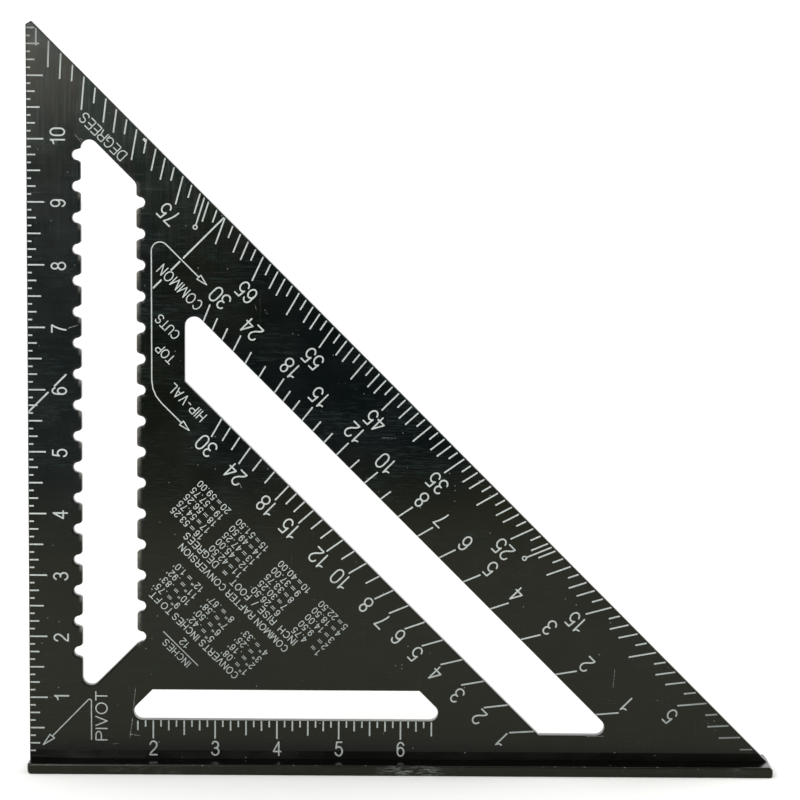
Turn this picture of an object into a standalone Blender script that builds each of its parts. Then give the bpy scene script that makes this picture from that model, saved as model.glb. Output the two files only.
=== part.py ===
"""Twelve inch speed square: a triangular blade seated in a T-shaped fence.

The square stands on its fence. +X runs along the fence, +Z up the 90 degree
edge, and the marked face looks towards -Y. The origin is the middle of the
fence's outer face. Profiles are drawn from the pivot corner, where the 90
degree edge meets the fence's inner face, and are then moved to that origin.
"""
import math

import bmesh
import bpy

MM = 0.001
INCH = 25.4 * MM

# fence
FENCE_LENGTH = 304.8 * MM
FENCE_WIDTH = 25.4 * MM
FENCE_THICK = 4.4 * MM
RIM_RADIUS = 0.7 * MM
PLAN_RADIUS = 1.5 * MM
HEEL_RADIUS = 1.4 * MM
HEEL_CHAMFER = 0.5 * MM
TOE_RADIUS = 0.5 * MM
SEAT_DEPTH = 1.5 * MM
SEAT_GAP = 0.3 * MM
SEAT_EDGE = 0.15 * MM

# blade
BLADE_LEG = 303.5 * MM
BLADE_THICK = 4.8 * MM
TIP_HEIGHT = 299.9 * MM
TIP_WIDTH = 2.3 * MM
TIP_RADIUS = 0.3 * MM
EDGE_ROUND = 0.5 * MM
CORNER_RADIUS = 3.5 * MM

# notched slot beside the tall inch scale
RACK_LEFT = 21.9 * MM
RACK_RIGHT = 44.3 * MM
RACK_TOP_SUM = 280.6 * MM
RACK_BOTTOM_RISE = 3.7 * MM
NOTCH_RADIUS = 2.1 * MM
NOTCH_THROAT = 1.4 * MM
NOTCH_MOUTH = 2.8 * MM
SHOULDER_RADIUS = 1.1 * MM
RACK_EDGE_ROUND = 0.9 * MM
NOTCH_PITCH = 0.5 * INCH
LEFT_NOTCH_LOWEST = 1.75 * INCH
LEFT_NOTCHES = 17
RIGHT_NOTCH_LOWEST = 2.0 * INCH
RIGHT_NOTCHES = 15

# slanted slot between the two rafter scales
SLANT_LEFT = 63.9 * MM
SLANT_LOWER_SUM = 220.0 * MM
SLANT_UPPER_SUM = 251.8 * MM
SLANT_BOTTOM = 10.7 * MM
CROWN_RADIUS = 3.8 * MM

# level slot above the lower inch scale
LEVEL_BOTTOM = 16.2 * MM
LEVEL_TOP = 28.8 * MM
LEVEL_LEFT_RISE = 21.7 * MM
LEVEL_RIGHT_SUM = 188.9 * MM

ARC_STEP = math.radians(15.0)
NOTCH_STEP = math.radians(22.5)
EDGE_PARTS = 2
SMOOTH_ANGLE = math.radians(40.0)


def clear_scene():
    for ob in list(bpy.data.objects):
        bpy.data.objects.remove(ob, do_unlink=True)


def make_material(name, colour, roughness):
    mat = bpy.data.materials.new(name)
    mat.use_nodes = True
    shader = mat.node_tree.nodes["Principled BSDF"]
    shader.inputs["Base Color"].default_value = colour
    shader.inputs["Metallic"].default_value = 0.6
    shader.inputs["Roughness"].default_value = roughness
    return mat


def to_world(x, y, z):
    """Pivot-corner position to the origin under the middle of the fence."""
    return x - 0.5 * FENCE_LENGTH, y, z + FENCE_THICK


def finish_object(name, bm, mat):
    bmesh.ops.recalc_face_normals(bm, faces=bm.faces[:])
    for face in bm.faces:
        face.smooth = True
    mesh = bpy.data.meshes.new(name)
    bm.to_mesh(mesh)
    bm.free()
    mesh.set_sharp_from_angle(angle=SMOOTH_ANGLE)
    mesh.materials.append(mat)
    ob = bpy.data.objects.new(name, mesh)
    bpy.context.scene.collection.objects.link(ob)
    return ob


def unit(a, b):
    dx, dy = b[0] - a[0], b[1] - a[1]
    length = math.hypot(dx, dy)
    return dx / length, dy / length


def rounded(corners, radii, step=ARC_STEP):
    """Closed polygon with each corner turned into an arc of its own radius."""
    points = []
    for i, (corner, radius) in enumerate(zip(corners, radii)):
        if radius <= 0.0:
            points.append(corner)
            continue
        back = unit(corner, corners[i - 1])
        ahead = unit(corner, corners[(i + 1) % len(corners)])
        half = 0.5 * math.acos(back[0] * ahead[0] + back[1] * ahead[1])
        reach = radius / math.tan(half)
        middle = (back[0] + ahead[0], back[1] + ahead[1])
        scale = radius / math.sin(half) / math.hypot(*middle)
        cx, cy = corner[0] + middle[0] * scale, corner[1] + middle[1] * scale
        first = math.atan2(corner[1] + back[1] * reach - cy, corner[0] + back[0] * reach - cx)
        last = math.atan2(corner[1] + ahead[1] * reach - cy, corner[0] + ahead[0] * reach - cx)
        turn = (last - first + math.pi) % (2.0 * math.pi) - math.pi
        parts = max(1, math.ceil(abs(turn) / step - 1e-6))
        for k in range(parts + 1):
            a = first + turn * k / parts
            points.append((cx + radius * math.cos(a), cy + radius * math.sin(a)))
    return points


def grown(points, distance):
    """Anticlockwise polygon pushed outwards, or inwards when negative."""
    moved = []
    for i, here in enumerate(points):
        d0 = unit(points[i - 1], here)
        d1 = unit(here, points[(i + 1) % len(points)])
        nx, ny = d0[1] + d1[1], -d0[0] - d1[0]
        scale = distance / (1.0 + d0[0] * d1[0] + d0[1] * d1[1])
        moved.append((here[0] + nx * scale, here[1] + ny * scale))
    return moved


def notch(side, height, into, lower_shoulder=True, upper_shoulder=True):
    """Half-round notch with an eased mouth, from its lower end to its upper.

    into is +1 for a notch cut towards +X and -1 for one cut towards -X. A
    shoulder is left out where the notch runs straight into the slot's end.
    """
    centre = side + into * NOTCH_THROAT
    parts = round(math.pi / NOTCH_STEP)
    arc = []
    for k in range(parts + 1):
        a = math.pi * (k / parts - 0.5)
        arc.append((centre + into * NOTCH_RADIUS * math.cos(a), height + NOTCH_RADIUS * math.sin(a)))
    lead = (side, height - 2.0 * NOTCH_MOUTH)
    low = (side, height - NOTCH_MOUTH)
    high = (side, height + NOTCH_MOUTH)
    tail = (side, height + 2.0 * NOTCH_MOUTH)
    radii = [0.0, SHOULDER_RADIUS] + [0.0] * len(arc) + [SHOULDER_RADIUS, 0.0]
    points = rounded([lead, low] + arc + [high, tail], radii, NOTCH_STEP)[1:-1]
    shoulder = (len(points) - len(arc)) // 2
    start = 0 if lower_shoulder else shoulder
    stop = len(points) - (0 if upper_shoulder else shoulder)
    return points[start:stop]


def rack_slot():
    """Notched slot, anticlockwise from its lower end."""
    corners = [
        (RACK_LEFT, RACK_LEFT + RACK_BOTTOM_RISE),
        (RACK_RIGHT, RACK_RIGHT + RACK_BOTTOM_RISE),
        (RACK_RIGHT, RACK_TOP_SUM - RACK_RIGHT),
        (RACK_LEFT, RACK_TOP_SUM - RACK_LEFT),
    ]
    outline = rounded(corners, [CORNER_RADIUS, 0.0, CORNER_RADIUS, CORNER_RADIUS])
    middle = 0.5 * RACK_TOP_SUM
    low_end = [p for p in outline if p[1] < middle]
    high_end = [p for p in outline if p[1] > middle]
    right = []
    for k in range(RIGHT_NOTCHES):
        height = RIGHT_NOTCH_LOWEST + k * NOTCH_PITCH
        right += notch(RACK_RIGHT, height, 1.0, lower_shoulder=k > 0)
    left = []
    for k in range(LEFT_NOTCHES):
        height = LEFT_NOTCH_LOWEST + k * NOTCH_PITCH
        left += notch(RACK_LEFT, height, -1.0, upper_shoulder=k < LEFT_NOTCHES - 1)
    return low_end + right + high_end + left[::-1]


def slant_slot():
    corners = [
        (SLANT_LOWER_SUM - SLANT_BOTTOM, SLANT_BOTTOM),
        (SLANT_UPPER_SUM - SLANT_BOTTOM, SLANT_BOTTOM),
        (SLANT_LEFT, SLANT_UPPER_SUM - SLANT_LEFT),
        (SLANT_LEFT, SLANT_LOWER_SUM - SLANT_LEFT),
    ]
    return rounded(corners, [0.0, CORNER_RADIUS, CROWN_RADIUS, 0.0])


def level_slot():
    corners = [
        (LEVEL_LEFT_RISE + LEVEL_BOTTOM, LEVEL_BOTTOM),
        (LEVEL_RIGHT_SUM - LEVEL_BOTTOM, LEVEL_BOTTOM),
        (LEVEL_RIGHT_SUM - LEVEL_TOP, LEVEL_TOP),
        (LEVEL_LEFT_RISE + LEVEL_TOP, LEVEL_TOP),
    ]
    return rounded(corners, [CORNER_RADIUS, CORNER_RADIUS, 0.0, 0.0])


def blade_outline():
    foot = SEAT_GAP - SEAT_DEPTH
    corners = [
        (0.0, foot),
        (BLADE_LEG - foot, foot),
        (TIP_WIDTH, BLADE_LEG - TIP_WIDTH),
        (0.0, TIP_HEIGHT),
    ]
    return rounded(corners, [0.0, 0.0, TIP_RADIUS, TIP_RADIUS])


def edge_levels(radius):
    """(depth from the front face, setback from the edge) for each ring."""
    front = []
    for k in range(EDGE_PARTS + 1):
        a = 0.5 * math.pi * k / EDGE_PARTS
        front.append((radius * (1.0 - math.cos(a)), radius * (1.0 - math.sin(a))))
    return front + [(BLADE_THICK - depth, setback) for depth, setback in reversed(front)]


def add_wall(bm, points, into_solid, radius):
    """Rings of one boundary from front to back; returns the two outermost."""
    rings = []
    for depth, setback in edge_levels(radius):
        y = depth - 0.5 * BLADE_THICK
        loop = grown(points, into_solid * setback)
        rings.append([bm.verts.new(to_world(x, y, z)) for x, z in loop])
    for a, b in zip(rings, rings[1:]):
        join_rings(bm, a, b)
    return rings[0], rings[-1]


def join_rings(bm, a, b):
    for i in range(len(a)):
        bm.faces.new((a[i - 1], a[i], b[i], b[i - 1]))


def build_blade(mat):
    bm = bmesh.new()
    walls = [
        add_wall(bm, blade_outline(), -1.0, EDGE_ROUND),
        add_wall(bm, rack_slot(), 1.0, RACK_EDGE_ROUND),
        add_wall(bm, slant_slot(), 1.0, EDGE_ROUND),
        add_wall(bm, level_slot(), 1.0, EDGE_ROUND),
    ]
    for side in (0, 1):
        edges = []
        for wall in walls:
            ring = wall[side]
            edges += [bm.edges.get((ring[i - 1], ring[i])) for i in range(len(ring))]
        bmesh.ops.triangle_fill(bm, use_beauty=True, use_dissolve=False, edges=edges)
    return finish_object("blade", bm, mat)


def end_round(distance, radius):
    """How far a rounded end has still to swell at this distance from it."""
    gap = max(0.0, radius - distance)
    return radius - math.sqrt(radius * radius - gap * gap)


def fence_section(x):
    """Fence outline across its length, as (y, z), at distance x from the heel."""
    ahead = FENCE_LENGTH - x
    half = 0.5 * FENCE_WIDTH - end_round(min(x, ahead), PLAN_RADIUS)
    low = -FENCE_THICK + end_round(x, HEEL_RADIUS) + end_round(ahead, TOE_RADIUS)
    high = -max(0.0, HEEL_CHAMFER - x, x - BLADE_LEG)
    seat = 0.5 * BLADE_THICK + SEAT_GAP
    corners = [
        (-half, low),
        (half, low),
        (half, high),
        (seat, high),
        (seat, -SEAT_DEPTH),
        (-seat, -SEAT_DEPTH),
        (-seat, high),
        (-half, high),
    ]
    lip = [RIM_RADIUS, RIM_RADIUS, RIM_RADIUS, SEAT_EDGE]
    return rounded(corners, lip + [0.0, 0.0] + lip[:1:-1], 2.0 * ARC_STEP)


def fence_stations():
    parts = round(0.5 * math.pi / ARC_STEP)
    near = [PLAN_RADIUS * (1.0 - math.cos(ARC_STEP * k)) for k in range(parts + 1)]
    far = [FENCE_LENGTH - x for x in near]
    return sorted(near + far + [HEEL_CHAMFER, BLADE_LEG])


def build_fence(mat):
    bm = bmesh.new()
    rings = []
    for x in fence_stations():
        rings.append([bm.verts.new(to_world(x, y, z)) for y, z in fence_section(x)])
    for a, b in zip(rings, rings[1:]):
        join_rings(bm, a, b)
    bm.faces.new(rings[0])
    bm.faces.new(rings[-1])
    return finish_object("fence", bm, mat)


clear_scene()
build_blade(make_material("blade", (0.018, 0.019, 0.018, 1.0), 0.42))
build_fence(make_material("fence", (0.022, 0.022, 0.021, 1.0), 0.36))
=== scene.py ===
"""Looks for the twelve inch speed square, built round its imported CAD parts.

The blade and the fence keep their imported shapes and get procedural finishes.
The white marks are thin strokes laid on the blade's front face. Mark sizes
are in mm: x runs along the fence from the pivot corner and z up the 90 degree
edge. Slanted text uses u towards the top tip and v square to it.
"""
import math

import bmesh
import bpy
from mathutils import Matrix, Vector

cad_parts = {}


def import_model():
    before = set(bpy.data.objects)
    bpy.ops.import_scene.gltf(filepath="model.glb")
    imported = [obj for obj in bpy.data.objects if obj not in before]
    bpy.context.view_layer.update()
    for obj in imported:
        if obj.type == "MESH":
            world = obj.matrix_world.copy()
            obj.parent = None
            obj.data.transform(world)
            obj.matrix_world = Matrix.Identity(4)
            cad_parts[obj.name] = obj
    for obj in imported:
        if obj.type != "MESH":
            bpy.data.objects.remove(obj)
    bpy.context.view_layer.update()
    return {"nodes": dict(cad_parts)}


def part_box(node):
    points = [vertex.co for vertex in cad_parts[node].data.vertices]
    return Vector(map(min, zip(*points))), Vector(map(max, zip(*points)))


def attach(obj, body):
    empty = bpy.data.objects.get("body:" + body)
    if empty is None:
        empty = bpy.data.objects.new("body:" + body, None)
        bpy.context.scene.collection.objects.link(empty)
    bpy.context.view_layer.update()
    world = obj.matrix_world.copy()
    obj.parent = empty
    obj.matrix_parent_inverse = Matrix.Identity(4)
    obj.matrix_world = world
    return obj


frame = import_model()

MM = 0.001
INCH = 25.4
ROOT2 = math.sqrt(2.0)

# the pivot corner and the blade's front face, in metres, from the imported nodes
FENCE_LOW, FENCE_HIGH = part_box("fence")
CORNER_X = FENCE_LOW[0]
CORNER_Z = FENCE_HIGH[2]
FRONT_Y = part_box("blade")[0][1]

# the blade as the CAD has it, in mm from the pivot corner
LEG = 303.5
LEVEL_SLOT_EDGE = 16.2
SLANT_LOWER = 220.0 / ROOT2
SLANT_UPPER = 251.8 / ROOT2
EDGE_ROUND = 0.5
RACK_LEFT, RACK_RIGHT = 21.9, 44.3
RACK_LOW, RACK_HIGH = 48.0, 236.0
NOTCH_PITCH = 0.5 * INCH
LEFT_NOTCH, RIGHT_NOTCH = 1.75 * INCH, 2.0 * INCH

# the engraving sits slightly off the blade: its pivot, in mm, and how far it leans, as slopes
MARK_PIVOT = (-0.86, 0.07)
MARK_LEAN = 0.0024
DEGREE_LEAN = 0.003

# stroke sizes, mm
EDGE_LIFT = 0.006
CREST_LIFT = 0.04
TICK_WIDTH = 0.6
TICK_SWELL = 1.15
TICK_SWELL_LENGTH = 0.45
TICK_DRAPE = (0.15, 0.4)
LINE_WIDTH = 0.44
SHORTEST = 0.01
SPLIT_ANGLE = math.radians(40.0)
CAP_PARTS = 6

# which way a line of text runs, in degrees from the fence
ALONG_TALL = 90.0
ALONG_LONG = 135.0
UPRIGHT = 0.0


# ---------------------------------------------------------------- strokes

def world(x, z, lift=0.0, sink=0.0):
    """A point on the blade's front face, mm from the pivot corner."""
    return Vector((CORNER_X + x * MM, FRONT_Y + (sink - lift) * MM, CORNER_Z + z * MM))


def turned(u, v, angle):
    """From text axes (u along the line, v up the letters) to blade x, z."""
    if angle == ALONG_LONG:
        v += MARK_LEAN * u
    c, s = math.cos(math.radians(angle)), math.sin(math.radians(angle))
    return u * c - v * s, u * s + v * c


def edge_sink(edge, x, z):
    """How far the face has rounded away beside one straight edge."""
    if edge is None:
        return 0.0
    nx, nz, offset = edge
    gap = EDGE_ROUND - (nx * x + nz * z - offset)
    gap = min(max(gap, 0.0), EDGE_ROUND)
    return EDGE_ROUND - math.sqrt(EDGE_ROUND ** 2 - gap ** 2)


LEFT_EDGE = (1.0, 0.0, 0.0)
LEVEL_EDGE = (0.0, -1.0, -LEVEL_SLOT_EDGE)
LONG_EDGE = (-1.0 / ROOT2, -1.0 / ROOT2, -LEG / ROOT2)
COMMON_EDGE = (1.0 / ROOT2, 1.0 / ROOT2, SLANT_UPPER)
HIP_EDGE = (-1.0 / ROOT2, -1.0 / ROOT2, -SLANT_LOWER)


def split_at_corners(points):
    """Cuts a path wherever it turns sharply, so every piece can be mitred."""
    runs, run = [], [points[0]]
    for before, here, after in zip(points, points[1:], points[2:]):
        run.append(here)
        a = math.atan2(here[1] - before[1], here[0] - before[0])
        b = math.atan2(after[1] - here[1], after[0] - here[0])
        if abs((b - a + math.pi) % (2.0 * math.pi) - math.pi) > SPLIT_ANGLE:
            runs.append(run)
            run = [here]
    run.append(points[-1])
    runs.append(run)
    return runs


def stroke(bm, points, width, edge=None, swell=1.0):
    """A round-ended line with a low crest, lying on the blade's face.

    swell makes the last point that much wider than the rest.
    """
    path = [points[0]]
    for point in points[1:]:
        if math.dist(point, path[-1]) > SHORTEST:
            path.append(point)
    for run in split_at_corners(path):
        ribbon(bm, run, 0.5 * width, edge, swell)


def ribbon(bm, run, half, edge, swell):
    halves = [half] * (len(run) - 1) + [half * swell]

    def vert(x, z, lift):
        return bm.verts.new(world(x, z, lift, edge_sink(edge, x, z)))

    dirs = []
    for a, b in zip(run, run[1:]):
        length = math.hypot(b[0] - a[0], b[1] - a[1])
        dirs.append(((b[0] - a[0]) / length, (b[1] - a[1]) / length))
    lanes = []
    for i, (x, z) in enumerate(run):
        d0, d1 = dirs[max(i - 1, 0)], dirs[min(i, len(dirs) - 1)]
        reach = halves[i] / (1.0 + d0[0] * d1[0] + d0[1] * d1[1])
        nx, nz = -(d0[1] + d1[1]) * reach, (d0[0] + d1[0]) * reach
        lanes.append((
            vert(x + nx, z + nz, EDGE_LIFT),
            vert(x, z, CREST_LIFT),
            vert(x - nx, z - nz, EDGE_LIFT),
        ))
    for a, b in zip(lanes, lanes[1:]):
        bm.faces.new((a[0], b[0], b[1], a[1]))
        bm.faces.new((a[1], b[1], b[2], a[2]))
    for end, sign in ((0, -1.0), (-1, 1.0)):
        lane, (x, z), half = lanes[end], run[end], halves[end]
        turn = math.atan2(dirs[end][1], dirs[end][0])
        rim = [lane[0]]
        for k in range(1, CAP_PARTS):
            a = turn + math.pi * (0.5 - sign * k / CAP_PARTS)
            rim.append(vert(x + half * math.cos(a), z + half * math.sin(a), EDGE_LIFT))
        rim.append(lane[2])
        for a, b in zip(rim, rim[1:]):
            bm.faces.new((a, b, lane[1]))


def tick(bm, outer, inner, edge):
    """A tick whose outer end drapes over the rounded edge it starts from."""
    length = math.hypot(inner[0] - outer[0], inner[1] - outer[1])
    near = [reach / length for reach in TICK_DRAPE]
    stops = [0.0, *near, 1.0 - TICK_SWELL_LENGTH / length, 1.0]
    path = [tuple(o + (i - o) * t for o, i in zip(outer, inner)) for t in stops]
    stroke(bm, path, TICK_WIDTH, edge, TICK_SWELL)


# ------------------------------------------------------------------- font

def arc(cx, cy, rx, ry, start, end):
    """Points round an oval, about one every 18 degrees."""
    parts = max(3, round(abs(end - start) / 18.0))
    points = []
    for k in range(parts + 1):
        a = math.radians(start + (end - start) * k / parts)
        points.append((cx + rx * math.cos(a), cy + ry * math.sin(a)))
    return points


SIX = arc(0.27, 0.68, 0.23, 0.32, 25, 180) + arc(0.26, 0.31, 0.23, 0.31, 180, 540)
ZERO = arc(0.25, 0.68, 0.25, 0.32, 0, 180) + arc(0.25, 0.32, 0.25, 0.32, 180, 360) + [(0.5, 0.68)]
TWO = arc(0.25, 0.73, 0.24, 0.27, 172, -30)
TWO += [(0.34, 0.42), (0.14, 0.24), (0.04, 0.11), (0.01, 0), (0.5, 0)]
THREE_TOP = arc(0.24, 0.755, 0.22, 0.245, 160, -80) + [(0.2, 0.52)]
THREE_FOOT = [(0.2, 0.52)] + arc(0.24, 0.265, 0.255, 0.265, 80, -165)
LETTER_P = [(0, 0), (0, 1), (0.3, 1)] + arc(0.3, 0.76, 0.24, 0.24, 90, -90) + [(0, 0.52)]

# each letter: its width and its strokes, for a letter one unit tall
GLYPHS = {
    "0": (0.5, [ZERO]),
    "1": (0.5, [[(0.1, 0.77), (0.23, 0.8), (0.32, 0.87), (0.37, 1.0), (0.37, 0)]]),
    "2": (0.5, [TWO]),
    "3": (0.5, [THREE_TOP, THREE_FOOT]),
    "4": (0.53, [[(0.39, 0), (0.39, 1), (0, 0.29), (0.53, 0.29)]]),
    "5": (0.5, [[(0.45, 1), (0.1, 1), (0.05, 0.54)] + arc(0.24, 0.33, 0.255, 0.33, 135, -160)]),
    "6": (0.5, [SIX]),
    "7": (0.5, [[(0, 1), (0.5, 1), (0.36, 0.74), (0.26, 0.48), (0.19, 0.22), (0.16, 0)]]),
    "8": (0.5, [arc(0.25, 0.76, 0.205, 0.24, -90, 270), arc(0.25, 0.26, 0.25, 0.26, 90, 450)]),
    "9": (0.5, [[(0.51 - x, 1 - y) for x, y in SIX]]),
    ".": (0.08, [[(0.01, 0.03), (0.07, 0.03)]]),
    "'": (0.06, [[(0.03, 1), (0.03, 0.8)]]),
    '"': (0.34, [[(0.03, 1), (0.03, 0.75)], [(0.25, 1), (0.25, 0.75)]]),
    "=": (0.5, [[(0, 0.26), (0.5, 0.26)], [(0, 0.53), (0.5, 0.53)]]),
    "/": (0.26, [[(0, 0), (0.26, 1)]]),
    "-": (0.28, [[(0, 0.4), (0.28, 0.4)]]),
    "A": (0.62, [[(0, 0), (0.31, 1), (0.62, 0)], [(0.11, 0.33), (0.51, 0.33)]]),
    "C": (0.58, [arc(0.32, 0.5, 0.32, 0.5, 42, 318)]),
    "D": (0.56, [[(0, 0), (0, 1), (0.24, 1)] + arc(0.24, 0.5, 0.32, 0.5, 90, -90) + [(0, 0)]]),
    "E": (0.5, [[(0.48, 1), (0, 1), (0, 0), (0.5, 0)], [(0, 0.53), (0.44, 0.53)]]),
    "F": (0.46, [[(0.46, 1), (0, 1), (0, 0)], [(0, 0.52), (0.42, 0.52)]]),
    "G": (0.64, [arc(0.33, 0.5, 0.33, 0.5, 42, 345), [(0.4, 0.47), (0.64, 0.47), (0.64, 0)]]),
    "H": (0.54, [[(0, 0), (0, 1)], [(0.54, 0), (0.54, 1)], [(0, 0.52), (0.54, 0.52)]]),
    "I": (0.02, [[(0.01, 0), (0.01, 1)]]),
    "L": (0.44, [[(0, 1), (0, 0), (0.44, 0)]]),
    "M": (0.74, [[(0, 0), (0, 1), (0.37, 0.02), (0.74, 1), (0.74, 0)]]),
    "N": (0.54, [[(0, 0), (0, 1), (0.54, 0), (0.54, 1)]]),
    "O": (0.68, [arc(0.34, 0.5, 0.34, 0.5, 0, 360)]),
    "P": (0.54, [LETTER_P]),
    "R": (0.56, [LETTER_P, [(0.3, 0.52), (0.46, 0.44), (0.5, 0.2), (0.56, 0)]]),
    "S": (0.54, [arc(0.28, 0.745, 0.24, 0.255, 22, 250) + arc(0.27, 0.255, 0.265, 0.255, 75, -158)]),
    "T": (0.54, [[(0, 1), (0.54, 1)], [(0.27, 1), (0.27, 0)]]),
    "U": (0.54, [[(0, 1), (0, 0.3)] + arc(0.27, 0.3, 0.27, 0.3, 180, 360) + [(0.54, 1)]]),
    "V": (0.58, [[(0, 1), (0.29, 0), (0.58, 1)]]),
}
LETTER_GAP = 0.18
WIDE_GAP = 0.26
TABLE_GAP = 0.28


def natural_width(text, gap):
    return sum(GLYPHS[c][0] for c in text) + gap * (len(text) - 1)


def ink(text, gap):
    """Where the first letter's ink starts and the last one's ends."""
    first = min(x for path in GLYPHS[text[0]][1] for x, _ in path)
    last = max(x for path in GLYPHS[text[-1]][1] for x, _ in path)
    return first, natural_width(text, gap) - GLYPHS[text[-1]][0] + last


def letters(bm, text, left, base, tall, width, angle, scale, gap):
    """Letters whose outer height is tall, standing on the line v = base."""
    height = tall - width
    for char in text:
        advance, paths = GLYPHS[char]
        for path in paths:
            placed = [(left + x * scale, base + 0.5 * width + y * height) for x, y in path]
            stroke(bm, [turned(u, v, angle) for u, v in placed], width)
        left += (advance + gap) * scale


def write(bm, text, at, base, tall, width, angle):
    """A word or number in its natural width, centred on at."""
    scale = tall - width
    left = at - 0.5 * scale * sum(ink(text, LETTER_GAP))
    letters(bm, text, left, base, tall, width, angle, scale, LETTER_GAP)


def fit(bm, text, start, end, base, tall, width, angle=ALONG_LONG, gap=LETTER_GAP):
    """A word stretched to run from start to end."""
    first, last = ink(text, gap)
    scale = (end - start - width) / (last - first)
    left = start + 0.5 * width - first * scale
    letters(bm, text, left, base, tall, width, angle, scale, gap)


def figures(bm, text, right, base):
    """Table figures, all as wide as each other, that end at right."""
    scale = (TABLE_HEIGHT - TABLE_WIDTH) * TABLE_STRETCH
    left = right - 0.5 * TABLE_WIDTH - scale * natural_width(text, TABLE_GAP)
    letters(bm, text, left, base, TABLE_HEIGHT, TABLE_WIDTH, ALONG_LONG, scale, TABLE_GAP)


# ------------------------------------------------------------------ scales

def ray(angle, toward):
    """Where a line from the marking pivot at this angle crosses x + z = toward * root 2."""
    c, s = math.cos(angle), math.sin(angle)
    reach = (toward * ROOT2 - MARK_PIVOT[0] - MARK_PIVOT[1]) / (c + s)
    return MARK_PIVOT[0] + reach * c, MARK_PIVOT[1] + reach * s


def eighths(k, lengths):
    """Tick length for k eighths: whole, half, quarter or eighth inch."""
    for step, length in zip((8, 4, 2, 1), lengths):
        if k % step == 0:
            return length


NUMERAL_WIDTH = 0.62
TALL_LENGTHS = (7.3, 5.9, 4.0, 2.2)
TALL_LAST_EIGHTH = 94
TALL_NUMERAL_BASE = -16.4
TALL_NUMERAL_SHIFT = -0.44
TALL_NUMERAL_SHIFTS = {1: -0.1, 10: 1.2}
TALL_LEAN = 0.0022
TALL_NUMERAL_HEIGHT = 6.3
LEVEL_LENGTHS = (7.4, 5.9, 4.0, 2.5)
LEVEL_FIRST_EIGHTH = 14
LEVEL_LAST_EIGHTH = 52
LEVEL_NUMERAL_BASE = 1.34
LEVEL_NUMERAL_SHIFT = 0.08
EDGE_START = 0.42
LEFT_START = 0.6
LONG_START = 0.85


def tall_ticks(bm):
    for k in range(1, TALL_LAST_EIGHTH + 1):
        z = k * INCH / 8.0
        tick(bm, (LEFT_START, z), (eighths(k, TALL_LENGTHS) - TALL_LEAN * z, z), edge=LEFT_EDGE)


def tall_numerals(bm):
    for n in range(1, 11):
        shift = TALL_NUMERAL_SHIFTS.get(n, TALL_NUMERAL_SHIFT)
        base = TALL_NUMERAL_BASE + TALL_LEAN * n * INCH
        write(bm, str(n), n * INCH + shift, base, TALL_NUMERAL_HEIGHT, NUMERAL_WIDTH, ALONG_TALL)


def level_ticks(bm):
    for k in range(LEVEL_FIRST_EIGHTH, LEVEL_LAST_EIGHTH + 1):
        x = k * INCH / 8.0
        low = LEVEL_SLOT_EDGE - eighths(k, LEVEL_LENGTHS)
        tick(bm, (x, LEVEL_SLOT_EDGE - EDGE_START), (x, low), edge=LEVEL_EDGE)


def level_numerals(bm):
    for n in range(2, 7):
        centre = n * INCH + LEVEL_NUMERAL_SHIFT
        write(bm, str(n), centre, LEVEL_NUMERAL_BASE, TALL_NUMERAL_HEIGHT, NUMERAL_WIDTH, UPRIGHT)


# tick depth by how many degrees it is past a multiple of five
DEGREE_DEPTHS = {0: 10.17, 1: 4.77, 2: 7.52, 3: 7.52, 4: 4.77}
# degrees, and how far towards the top tip the number is centred
DEGREE_LABELS = (
    (75, 117.9), (65, 73.4), (55, 35.3), (45, -0.6), (35, -36.5), (25, -74.8), (15, -117.4),
    (5, -172.7),
)
DEGREE_BASE = -202.65
DEGREES_WORD = (146.4, 170.4, -204.98, 4.6, 0.45)
SCALE_NUMERAL_HEIGHT = 7.0
PLUMB_ANGLES = (22.5, 72.5)
PLUMB_REACH = 203.9
PLUMB_RING = 202.9
PLUMB_RING_RADIUS = 0.8
PLUMB_RING_WIDTH = 0.5


def along(angle, toward):
    """How far towards the top tip a ray crosses x + z = toward * root 2."""
    return toward * math.tan(angle - math.radians(45.0))


def degree_ticks(bm):
    rim = LEG / ROOT2
    for n in range(1, 90):
        a = math.radians(n)
        depth = DEGREE_DEPTHS[n % 5] + DEGREE_LEAN * along(a, rim)
        tick(bm, ray(a, rim - LONG_START), ray(a, rim - depth), edge=LONG_EDGE)
    for n in PLUMB_ANGLES:
        a = math.radians(n)
        tick(bm, ray(a, rim - LONG_START), ray(a, PLUMB_REACH), edge=LONG_EDGE)
        x, z = ray(a, PLUMB_RING)
        stroke(bm, arc(x, z, PLUMB_RING_RADIUS, PLUMB_RING_RADIUS, 0, 360), PLUMB_RING_WIDTH)


def degree_numerals(bm):
    for n, centre in DEGREE_LABELS:
        write(bm, str(n), centre, DEGREE_BASE, SCALE_NUMERAL_HEIGHT, NUMERAL_WIDTH, ALONG_LONG)
    fit(bm, "DEGREES", *DEGREES_WORD)


# rise on 12, and how far towards the top tip its number is centred
COMMON_LABELS = (
    (30, 79.3), (24, 61.3), (18, 39.0), (15, 22.2), (12, 1.9), (10, -16.0), (8, -36.9), (7, -48.4),
    (6, -62.2), (5, -77.0), (4, -92.2), (3, -111.4), (2, -133.1), (1, -157.1),
)
HIP_LABELS = (
    (30, 40.5), (24, 24.1), (18, 5.8), (15, -7.5), (12, -24.5), (10, -36.9), (8, -51.8), (7, -61.3),
    (6, -70.5), (5, -80.6), (4, -92.3), (3, -105.0), (2, -117.7), (1, -131.6),
)
RAFTER_PLAIN = (28, 26, 22, 20, 17, 16, 14, 13, 11, 9)
COMMON_RUN = 12.0
HIP_RUN = 12.0 * ROOT2
COMMON_LONG = 184.9
COMMON_SHORT = 183.1
COMMON_BASE = -193.4
HIP_LONG = 147.6
HIP_SHORT = 149.6
HIP_BASE = -146.65


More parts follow.
